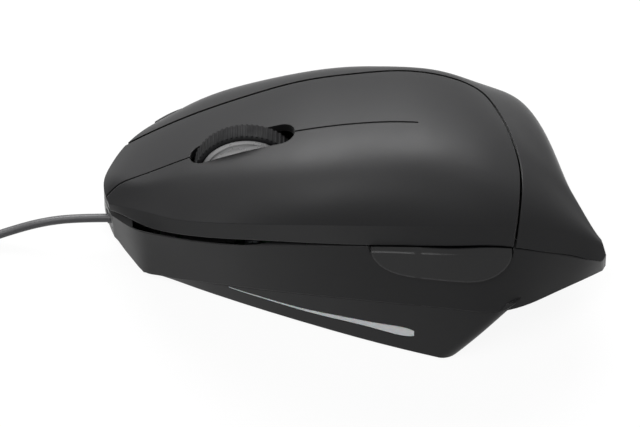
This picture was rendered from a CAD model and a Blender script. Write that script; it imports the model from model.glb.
import bpy
import bmesh
import math
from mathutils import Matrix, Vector


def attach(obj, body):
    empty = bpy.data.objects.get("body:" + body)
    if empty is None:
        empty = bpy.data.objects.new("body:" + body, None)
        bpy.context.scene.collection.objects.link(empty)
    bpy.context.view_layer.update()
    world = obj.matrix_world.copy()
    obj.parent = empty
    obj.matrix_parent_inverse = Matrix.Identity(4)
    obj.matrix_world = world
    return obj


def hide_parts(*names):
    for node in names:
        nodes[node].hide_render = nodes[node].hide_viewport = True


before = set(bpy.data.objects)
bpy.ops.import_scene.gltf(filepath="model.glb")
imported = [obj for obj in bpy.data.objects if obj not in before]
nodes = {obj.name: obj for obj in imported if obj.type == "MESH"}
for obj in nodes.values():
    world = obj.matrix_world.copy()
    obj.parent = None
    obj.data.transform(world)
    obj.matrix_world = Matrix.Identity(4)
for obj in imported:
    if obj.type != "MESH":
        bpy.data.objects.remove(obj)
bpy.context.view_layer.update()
print("frame loaded:", len(nodes), "nodes")

# drawn places are in millimetres, and are moved as the solids are
drawingShift = Vector((2.927, 1.398, 0.0))


def placed(x, y, z):
    return (Vector((x, y, z)) + drawingShift) / 1000


def linear(hexColour):
    parts = [int(hexColour[i:i + 2], 16) / 255 for i in (1, 3, 5)]
    return [p / 12.92 if p <= 0.04045 else ((p + 0.055) / 1.055) ** 2.4 for p in parts] + [1.0]


# camera, at the photograph's angle
view = {
    "elevation": 68.0,  # degrees, on the thumb side
    "distance": 3.0,  # metres, far off, because the photograph is almost a parallel view
    "aim": (-0.005739, 0.008205, 0.01987),
    "width": 0.1524,  # metres that the frame takes in at the aim
    "sensor": 36.0,
    "farthest": 20,
}


def setCamera():
    tilt = math.radians(view["elevation"])
    away = Vector((-math.cos(tilt), 0, math.sin(tilt)))
    data = bpy.data.cameras.new("photoCamera")
    data.sensor_width = view["sensor"]
    data.lens = view["sensor"] * view["distance"] / view["width"]
    data.clip_end = view["farthest"]
    camera = bpy.data.objects.new("photoCamera", data)
    bpy.context.scene.collection.objects.link(camera)
    camera.location = Vector(view["aim"]) + away * view["distance"]
    camera.rotation_euler = (-away).to_track_quat("-Z", "Y").to_euler()
    bpy.context.scene.camera = camera
    bpy.context.scene.view_settings.view_transform = "Standard"
    print("camera set, lens", round(data.lens))


setCamera()


# the cable: out of the nose, into a tied coil, on to the plug
cable = {
    "diameter": 2.1,  # millimetres, as all below but the length
    "length": 1.518,  # metres
    "start": (-4.4, 57.6, 6.5),
    "route": [(-4.4, 65.5, 6.5), (-4.8, 73.5, 4.8), (-6.2, 81.5, 2.4), (-8.8, 89.5, 1.2), (-11.4, 97, 1.4),
              (-12.6, 103, 2.15)],
    "coilLeft": -12.6, "coilMiddle": 110.0, "coilBase": 2.15, "coilWidth": 35.6,
    "coilPitch": 2.6, "coilRings": 5, "coilLayers": 4, "coilStep": 30,
    "tail": [(-12.6, 117.5, 9.95), (-10.8, 124.5, 8.4), (-5.6, 130, 6.2), (1.4, 133, 4.5), (8.4, 133.4, 3.7)],
    "plug": (14, 133.4, 3.7),
}


def coilSpots(c):
    right = c["coilLeft"] + c["coilWidth"]
    spots = [(c["coilLeft"], c["coilBase"])]
    for layer in range(c["coilLayers"]):
        z = c["coilBase"] + layer * c["coilPitch"]
        inwards = layer % 2 == 0
        for step in range(c["coilRings"]):
            ring = step if inwards else c["coilRings"] - step
            after = ring + 1 if inwards else ring - 1
            spots.append((right - ring * c["coilPitch"], z))
            spots.append((c["coilLeft"] + after * c["coilPitch"], z))
    return spots


def coilTurns(c):
    # six control points for each half turn, a little outside it, so the curve itself keeps the turn's radius
    points = []
    spots = coilSpots(c)
    side = 1
    for (x0, z0), (x1, z1) in zip(spots, spots[1:]):
        middle = (x0 + x1) / 2
        radius = (x0 - x1) / 2 / math.cos(math.radians(c["coilStep"] / 2))
        for i in range(180 // c["coilStep"]):
            turn = math.radians(c["coilStep"] * (i + 0.5))
            x = middle + radius * math.cos(turn)
            y = c["coilMiddle"] + side * abs(radius) * math.sin(turn)
            z = z0 + (z1 - z0) * (1 - math.cos(turn)) / 2
            points.append((x, y, z))
        side = -side
    return points


def makeCable():
    c = cable
    lastX, lastZ = coilSpots(c)[-1]
    points = [c["start"], *c["route"], (c["coilLeft"], c["coilMiddle"] - c["diameter"], c["coilBase"])]
    points += coilTurns(c)
    points += [(lastX, c["coilMiddle"] + c["diameter"], lastZ), *c["tail"], c["plug"]]
    curve = bpy.data.curves.new("cableJacket", "CURVE")
    curve.dimensions = "3D"
    curve.bevel_depth = 1.0  # the points' radius gives the thickness
    curve.bevel_resolution = 4
    curve.resolution_u = 6
    curve.use_fill_caps = True
    spline = curve.splines.new("NURBS")
    spline.points.add(len(points) - 1)
    for point, place in zip(spline.points, points):
        point.co = (*placed(*place), 1)
        point.radius = c["diameter"] / 2000
    spline.order_u = 3
    spline.use_endpoint_u = True
    piece = bpy.data.objects.new("cableJacket", curve)
    bpy.context.scene.collection.objects.link(piece)
    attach(piece, "body")
    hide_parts("cable", "cable_coil", "cable_tail")
    print("cable made of", len(points), "points")
    return piece


cableJacket = makeCable()


# materials
def addNode(tree, kind, settings=None, links=None):
    node = tree.nodes.new(kind)
    for key, value in (settings or {}).items():
        if isinstance(key, str) and hasattr(node, key):
            setattr(node, key, value)
        else:
            node.inputs[key].default_value = value
    for socket, source in (links or {}).items():
        tree.links.new(source, node.inputs[socket])
    return node


def newMaterial(name, look):
    material = bpy.data.materials.new(name)
    material.use_nodes = True
    tree = material.node_tree
    shader = tree.nodes["Principled BSDF"]
    for key, value in look.items():
        shader.inputs[key].default_value = value
    where = addNode(tree, "ShaderNodeTexCoord").outputs["Object"]
    return material, tree, shader, where


# the line at which both buttons flex out of the top cover: one moulding, so its edge isn't rounded there
flexLine = {
    "y": min(vertex.co.y for vertex in nodes["left_button"].data.vertices),
    "reach": 0.0008,
}


def roundedNormal(tree, where, edgeMm):
    # the rounded edges' normal, or the surface's own beside the flex line
    rounded = addNode(tree, "ShaderNodeBevel", {"samples": 6, "Radius": edgeMm / 1000})
    across = addNode(tree, "ShaderNodeSeparateXYZ", None, {0: where})
    atFlex = addNode(tree, "ShaderNodeMath", {"operation": "COMPARE", 1: flexLine["y"], 2: flexLine["reach"]},
                     {0: across.outputs["Y"]})
    plain = addNode(tree, "ShaderNodeNewGeometry")
    chosen = addNode(tree, "ShaderNodeMix", {"data_type": "VECTOR"})
    tree.links.new(atFlex.outputs[0], chosen.inputs[0])
    tree.links.new(rounded.outputs["Normal"], chosen.inputs[4])
    tree.links.new(plain.outputs["Normal"], chosen.inputs[5])
    return chosen.outputs[1]


def grainBump(tree, shader, where, sizeMm, depthMm, strength, detail=2.0, edgeMm=0.0):
    # a moulded or sprayed grain of a real size, over edges that a mould leaves a little round
    noise = addNode(tree, "ShaderNodeTexNoise", {"Scale": 1000 / sizeMm, "Detail": detail}, {"Vector": where})
    bump = addNode(tree, "ShaderNodeBump", {"Strength": strength, "Distance": depthMm / 1000},
                   {"Height": noise.outputs["Fac"]})
    if edgeMm:
        tree.links.new(roundedNormal(tree, where, edgeMm), bump.inputs["Normal"])
    tree.links.new(bump.outputs["Normal"], shader.inputs["Normal"])
    return noise


def varied(tree, shader, where, socket, low, high, sizeMm):
    # a slow drift of one value over the surface, as handling leaves
    noise = addNode(tree, "ShaderNodeTexNoise", {"Scale": 1000 / sizeMm, "Detail": 3.0}, {"Vector": where})
    limits = {"From Min": 0.3, "From Max": 0.7, "To Min": low, "To Max": high}
    spread = addNode(tree, "ShaderNodeMapRange", limits, {"Value": noise.outputs["Fac"]})
    tree.links.new(spread.outputs["Result"], shader.inputs[socket])


def tinted(tree, shader, source, hexLow, hexHigh):
    mix = addNode(tree, "ShaderNodeMix", {"data_type": "RGBA"})
    mix.inputs[6].default_value = linear(hexLow)
    mix.inputs[7].default_value = linear(hexHigh)
    tree.links.new(source, mix.inputs[0])
    tree.links.new(mix.outputs[2], shader.inputs["Base Color"])


# black ABS with a soft-touch spray: no hard glints, a faint sheen where it turns away
def softTouchAbs(name, low, high, roughLow, roughHigh):
    look = {"IOR": 1.5, "Specular IOR Level": 0.2, "Sheen Weight": 0.12, "Sheen Roughness": 0.3}
    material, tree, shader, where = newMaterial(name, look)
    grain = grainBump(tree, shader, where, 0.35, 0.01, 0.25, edgeMm=0.3)
    varied(tree, shader, where, "Roughness", roughLow, roughHigh, 18)
    tinted(tree, shader, grain.outputs["Fac"], low, high)
    return material


# black ABS moulded against polished steel: clear reflections
def polishedAbs():
    material, tree, shader, where = newMaterial("polishedBlackAbs", {"IOR": 1.52, "Specular IOR Level": 0.3})
    noise = grainBump(tree, shader, where, 6, 0.02, 0.05, edgeMm=0.7)
    varied(tree, shader, where, "Roughness", 0.12, 0.2, 9)
    tinted(tree, shader, noise.outputs["Fac"], "#09090A", "#0D0D0E")
    return material


# frosted polycarbonate light guide: pale, lit from inside by its own scatter
def frostedPolycarbonate():
    look = {"IOR": 1.58, "Subsurface Weight": 0.2, "Subsurface Scale": 0.002}
    material, tree, shader, where = newMaterial("frostedPolycarbonate", look)
    noise = grainBump(tree, shader, where, 0.5, 0.01, 0.2)
    varied(tree, shader, where, "Roughness", 0.35, 0.5, 5)
    tinted(tree, shader, noise.outputs["Fac"], "#D2D3D5", "#DDDEDF")
    return material


# moulded silicone rubber of the wheel's tyre: dull, slightly dusty on its ribs
def wheelSilicone():
    material, tree, shader, where = newMaterial("mouldedSilicone", {"IOR": 1.42, "Specular IOR Level": 0.2})
    noise = grainBump(tree, shader, where, 0.25, 0.02, 0.4)
    varied(tree, shader, where, "Roughness", 0.65, 0.85, 3)
    tinted(tree, shader, noise.outputs["Fac"], "#0C0C0D", "#171718")
    return material


# vacuum-metallised ABS of the wheel's disc: pale silver
def silveredAbs():
    material, tree, shader, where = newMaterial("silveredAbs", {"Metallic": 0.35})
    noise = grainBump(tree, shader, where, 0.3, 0.005, 0.15)
    varied(tree, shader, where, "Roughness", 0.22, 0.34, 4)
    tinted(tree, shader, noise.outputs["Fac"], "#F0F0F1", "#F6F6F6")
    return material


# extruded PVC cable jacket: matte black with faint drawing lines round its length
def extrudedPvc():
    material, tree, shader, where = newMaterial("extrudedPvc", {"IOR": 1.5})
    noise = grainBump(tree, shader, where, 0.6, 0.02, 0.3)
    varied(tree, shader, where, "Roughness", 0.4, 0.55, 8)
    tinted(tree, shader, noise.outputs["Fac"], "#2E2E30", "#3A3A3C")
    return material


# a plain moulded or plated part inside or underneath, with its own grain and drift of gloss
def plainPart(name, low, high, roughLow, roughHigh, grainMm, look=None):
    material, tree, shader, where = newMaterial(name, look or {"IOR": 1.5})
    noise = grainBump(tree, shader, where, grainMm, 0.01, 0.25)
    varied(tree, shader, where, "Roughness", roughLow, roughHigh, 6)
    tinted(tree, shader, noise.outputs["Fac"], low, high)
    return material


# solder-masked FR4: green lacquer over 0.4 mm copper tracks that run in two directions
def solderMask():
    material, tree, shader, where = newMaterial("solderMaskedFr4", {"IOR": 1.55, "Coat Weight": 0.3})
    turned = addNode(tree, "ShaderNodeMapping", {"Rotation": (0, 0, 0.6)}, {"Vector": where})
    tracks = addNode(tree, "ShaderNodeTexBrick", {"Scale": 220.0, "Mortar Size": 0.09, "Mortar Smooth": 0.1},
                     {"Vector": turned.outputs["Vector"]})
    tinted(tree, shader, tracks.outputs["Fac"], "#0E3B1E", "#2F6B3A")
    bump = addNode(tree, "ShaderNodeBump", {"Strength": 0.4, "Distance": 0.00004},
                   {"Height": tracks.outputs["Fac"]})
    tree.links.new(bump.outputs["Normal"], shader.inputs["Normal"])
    varied(tree, shader, where, "Roughness", 0.25, 0.4, 6)
    return material


clearAcrylic, clearTree, clearShader, clearWhere = newMaterial(
    "clearAcrylic", {"IOR": 1.49, "Transmission Weight": 1.0, "Base Color": linear("#F2F5F6")})
varied(clearTree, clearShader, clearWhere, "Roughness", 0.03, 0.08, 4)

shellAbs = softTouchAbs("softTouchAbs", "#141415", "#1A1A1B", 0.42, 0.5)
sideAbs = softTouchAbs("softTouchAbsSide", "#111112", "#161617", 0.4, 0.48)
baseAbs = softTouchAbs("spraySandedAbs", "#121213", "#171718", 0.44, 0.52)
glossAbs = polishedAbs()
guide = frostedPolycarbonate()
silicone = wheelSilicone()
silver = silveredAbs()
pvc = extrudedPvc()
board = solderMask()
moulded = plainPart("mouldedNylonBlack", "#101011", "#1A1A1B", 0.4, 0.6, 0.4)
carrierAbs = plainPart("mouldedAcetalGrey", "#3A3B3D", "#45464A", 0.35, 0.5, 0.5)
steel = plainPart("zincPlatedSteel", "#9EA1A4", "#B9BCBF", 0.25, 0.4, 0.4, {"Metallic": 1.0})
ground = plainPart("groundSteel", "#A6A8AA", "#C2C4C6", 0.15, 0.3, 0.2, {"Metallic": 1.0})
nickel = plainPart("nickelPlatedSteel", "#B5B4AE", "#CFCEC9", 0.18, 0.3, 0.6, {"Metallic": 1.0})
gold = plainPart("goldFlashedContact", "#C9A04A", "#DDB964", 0.2, 0.35, 0.3, {"Metallic": 1.0})
lamp = plainPart("mouldedLampWhite", "#D9D8CF", "#E9E8E2", 0.3, 0.45, 0.5)
whiteNylon = plainPart("mouldedNylonWhite", "#CFCDC6", "#DEDCD6", 0.4, 0.55, 0.5)
ptfe = plainPart("skivedPtfe", "#1A1A1B", "#222223", 0.3, 0.42, 1.2)
redNylon = plainPart("mouldedNylonRed", "#7A1E18", "#8E2A22", 0.4, 0.55, 0.4)
wireCovers = plainPart("extrudedWireCover", "#101011", "#19191A", 0.35, 0.5, 0.5)

finishes = {
    "side_shell": sideAbs, "rear_shell": shellAbs, "top_cover": shellAbs, "left_button": shellAbs,
    "right_button": shellAbs, "thumb_button": glossAbs, "base_tray": baseAbs, "light_strip": guide,
    "strip_lamp": lamp, "strip_board": board, "glide_feet": ptfe, "case_screws": steel, "lens": clearAcrylic,
    "main_board": board, "board_screws": steel, "sensor_chip": moulded, "sensor_lamp": lamp,
    "controller_chip": moulded, "small_parts": moulded, "cable_connector": moulded,
    "left_switch_case": moulded, "right_switch_case": moulded, "wheel_switch_case": moulded,
    "thumb_switch_case": moulded, "left_switch_plunger": redNylon, "right_switch_plunger": redNylon,
    "wheel_switch_plunger": redNylon, "thumb_switch_plunger": redNylon, "thumb_board": board,
    "wheel_tyre": silicone, "wheel_hub": silver, "wheel_axle": ground, "wheel_carrier": carrierAbs,
    "carrier_pin": ground, "encoder": moulded, "strain_relief": pvc, "inner_wires": wireCovers, "cable": pvc,
    "cable_coil": pvc, "cable_tail": pvc, "cable_tie": moulded, "plug_grip": pvc, "plug_shell": nickel,
    "plug_tongue": whiteNylon, "plug_contacts": gold,
}
for name, material in finishes.items():
    mesh = nodes[name].data
    mesh.materials.clear()
    mesh.materials.append(material)
cableJacket.data.materials.append(pvc)
print("materials given to", len(finishes), "nodes")


# fine ribs across the tyre, laid out by Geometry Nodes
ribs = {
    "centre": (1.6, 24.2, 22.3),
    "lean": 26.0,  # degrees, of the wheel from upright
    "radius": 12.42,
    "count": 64,
    "width": 4.4,
    "thick": 0.62,
    "height": 0.5,
    "edge": 0.16,
}


def ribTree():
    tree = bpy.data.node_groups.new("tyreRibs", "GeometryNodeTree")
    tree.interface.new_socket("Geometry", in_out="INPUT", socket_type="NodeSocketGeometry")
    tree.interface.new_socket("Geometry", in_out="OUTPUT", socket_type="NodeSocketGeometry")
    for label, kind in (("Count", "NodeSocketInt"), ("Radius", "NodeSocketFloat"),
                        ("Rib size", "NodeSocketVector"), ("Finish", "NodeSocketMaterial")):
        tree.interface.new_socket(label, in_out="INPUT", socket_type=kind)
    inputs = addNode(tree, "NodeGroupInput")
    ring = addNode(tree, "GeometryNodeMeshCircle", None, {"Vertices": inputs.outputs["Count"],
                                                          "Radius": inputs.outputs["Radius"]})
    rib = addNode(tree, "GeometryNodeMeshCube", None, {"Size": inputs.outputs["Rib size"]})
    position = addNode(tree, "GeometryNodeInputPosition")
    turn = addNode(tree, "FunctionNodeAlignRotationToVector", {"axis": "X"}, {"Vector": position.outputs[0]})
    spread = addNode(tree, "GeometryNodeInstanceOnPoints", None, {
        "Points": ring.outputs["Mesh"], "Instance": rib.outputs["Mesh"], "Rotation": turn.outputs[0]})
    real = addNode(tree, "GeometryNodeRealizeInstances", None, {"Geometry": spread.outputs["Instances"]})
    finish = addNode(tree, "GeometryNodeSetMaterial", None, {"Geometry": real.outputs["Geometry"],
                                                             "Material": inputs.outputs["Finish"]})
    addNode(tree, "NodeGroupOutput", None, {"Geometry": finish.outputs["Geometry"]})
    return tree


def setInput(modifier, label, value):
    for item in modifier.node_group.interface.items_tree:
        if item.name == label and getattr(item, "in_out", "") == "INPUT":
            modifier[item.identifier] = value


def bakedMesh(piece, name):
    # the modifier's result as a plain mesh
    shown = piece.evaluated_get(bpy.context.evaluated_depsgraph_get())
    mesh = bpy.data.meshes.new_from_object(shown)
    mesh.name = name
    return mesh


def makeTyreRibs():
    mesh = bpy.data.meshes.new("ribSeed")
    piece = bpy.data.objects.new("tyreRibs", mesh)
    bpy.context.scene.collection.objects.link(piece)
    modifier = piece.modifiers.new("ribs", "NODES")
    modifier.node_group = ribTree()
    setInput(modifier, "Count", ribs["count"])
    setInput(modifier, "Radius", ribs["radius"] / 1000)
    setInput(modifier, "Rib size", (ribs["height"] / 1000, ribs["thick"] / 1000, ribs["width"] / 1000))
    setInput(modifier, "Finish", silicone)
    made = bakedMesh(piece, "tyreRibs")
    piece.modifiers.clear()
    piece.data = made
    made.materials.clear()
    made.materials.append(silicone)
    lean = math.radians(ribs["lean"])
    across = Vector((math.cos(lean), 0, -math.sin(lean)))
    up = Vector((math.sin(lean), 0, math.cos(lean)))
    centre = placed(*ribs["centre"])
    for vertex in made.vertices:
        x, y, z = vertex.co
        vertex.co = centre + up * x + Vector((0, 1, 0)) * y + across * z
    solid = bmesh.new()
    solid.from_mesh(made)
    bmesh.ops.recalc_face_normals(solid, faces=solid.faces)
    bmesh.ops.bevel(solid, geom=solid.edges[:], offset=ribs["edge"] / 1000, segments=2, profile=0.5,
                     affect="EDGES")
    for face in solid.faces:
        face.smooth = True
        face.material_index = 0
    solid.to_mesh(made)
    solid.free()
    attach(piece, "wheel")
    print("tyre ribs:", len(made.polygons), "faces")


makeTyreRibs()


# the webs where the buttons flex out of the top cover: one moulding, so no line shows there
webs = {
    "gap": 0.0001,  # metres between the button and the cover
    "near": 1e-6,  # a face this close to the button's end is its end face
    "merge": 1e-7,
}


def makeFlexWeb(name, button):
    solid = bmesh.new()
    solid.from_mesh(nodes[button].data)
    back = min(vertex.co.y for vertex in solid.verts)
    others = [face for face in solid.faces if max(v.co.y for v in face.verts) > back + webs["near"]]
    bmesh.ops.delete(solid, geom=others, context="FACES")
    bmesh.ops.remove_doubles(solid, verts=solid.verts, dist=webs["merge"])
    made = bmesh.ops.extrude_face_region(solid, geom=solid.faces[:])
    moved = [part for part in made["geom"] if isinstance(part, bmesh.types.BMVert)]
    bmesh.ops.translate(solid, verts=moved, vec=(0, -webs["gap"], 0))
    bmesh.ops.recalc_face_normals(solid, faces=solid.faces)
    mesh = bpy.data.meshes.new(name)
    solid.to_mesh(mesh)
    solid.free()
    mesh.materials.append(shellAbs)
    piece = bpy.data.objects.new(name, mesh)
    bpy.context.scene.collection.objects.link(piece)
    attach(piece, "body")
    print(name, len(mesh.polygons), "faces")


makeFlexWeb("leftFlexWeb", "left_button")
makeFlexWeb("rightFlexWeb", "right_button")


# floor and light
def shownWhite(tree, share):
    # how far a surface turns plain white where it is seen, mirrored or seen through
    path = addNode(tree, "ShaderNodeLightPath")
    mirrored = addNode(tree, "ShaderNodeMath", {"operation": "MAXIMUM"},
                       {0: path.outputs["Is Glossy Ray"], 1: path.outputs["Is Transmission Ray"]})
    either = addNode(tree, "ShaderNodeMath", {"operation": "MAXIMUM"},
                     {0: path.outputs["Is Camera Ray"], 1: mirrored.outputs[0]})
    shown = addNode(tree, "ShaderNodeMath", {"operation": "MULTIPLY", 1: share}, {0: either.outputs[0]})
    return shown.outputs[0]


floorLook = {"half": 4.0, "glow": 1.02, "shown": 0.9, "mottle": 4.0}


def makeFloor():
    material, tree, shader, where = newMaterial("paleFloor", {"Roughness": 0.9, "Specular IOR Level": 0.1})
    noise = addNode(tree, "ShaderNodeTexNoise", {"Scale": floorLook["mottle"], "Detail": 2.0},
                    {"Vector": where})
    tinted(tree, shader, noise.outputs["Fac"], "#E4E4E4", "#EAEAEA")
    glow = addNode(tree, "ShaderNodeEmission", {"Color": linear("#FFFFFF"), "Strength": floorLook["glow"]})
    mix = addNode(tree, "ShaderNodeMixShader")
    tree.links.new(shownWhite(tree, floorLook["shown"]), mix.inputs[0])
    tree.links.new(shader.outputs[0], mix.inputs[1])
    tree.links.new(glow.outputs[0], mix.inputs[2])
    tree.links.new(mix.outputs[0], tree.nodes["Material Output"].inputs["Surface"])
    mesh = bpy.data.meshes.new("floor")
    half = floorLook["half"]
    corners = [(-half, -half, 0), (half, -half, 0), (half, half, 0), (-half, half, 0)]
    mesh.from_pydata(corners, [], [(0, 1, 2, 3)])
    mesh.materials.append(material)
    floor = bpy.data.objects.new("floor", mesh)
    bpy.context.scene.collection.objects.link(floor)


lamps = {
    "farSoftbox": {"place": (0.9, 0.1, 0.6), "size": (1.0, 0.5), "power": 21.0},
    "topSoftbox": {"place": (-0.1, 0.4, 1.3), "size": (0.7, 0.7), "power": 8.5},
}
lampTarget = Vector((0, 0, 0.02))


def makeLight(name, place, size, power):
    data = bpy.data.lights.new(name, "AREA")
    data.shape = "RECTANGLE"
    data.size, data.size_y = size
    data.energy = power
    light = bpy.data.objects.new(name, data)
    bpy.context.scene.collection.objects.link(light)
    light.location = place
    light.rotation_euler = (lampTarget - Vector(place)).to_track_quat("-Z", "Y").to_euler()


room = {"near": 0.1, "far": 0.5}  # what the walls give to dull surfaces, on the thumb side and opposite


def makeWorld():
    # white where it is seen, mirrored or seen through, and otherwise weak on the near side
    world = bpy.data.worlds.new("studio")
    bpy.context.scene.world = world
    world.use_nodes = True
    tree = world.node_tree
    background = tree.nodes["Background"]
    background.inputs["Color"].default_value = linear("#FFFFFF")
    direction = addNode(tree, "ShaderNodeTexCoord").outputs["Generated"]
    parts = addNode(tree, "ShaderNodeSeparateXYZ", None, {0: direction})
    across = addNode(tree, "ShaderNodeMapRange", {"From Min": -1.0, "From Max": 1.0, "To Min": room["near"],
                                                  "To Max": room["far"]},
                     {"Value": parts.outputs["X"]})
    strength = addNode(tree, "ShaderNodeMath", {"operation": "MAXIMUM"},
                       {0: across.outputs[0], 1: shownWhite(tree, 1.0)})
    tree.links.new(strength.outputs[0], background.inputs["Strength"])


makeFloor()
makeWorld()
for lampName, box in lamps.items():
    makeLight(lampName, box["place"], box["size"], box["power"])
print("floor and lights set")
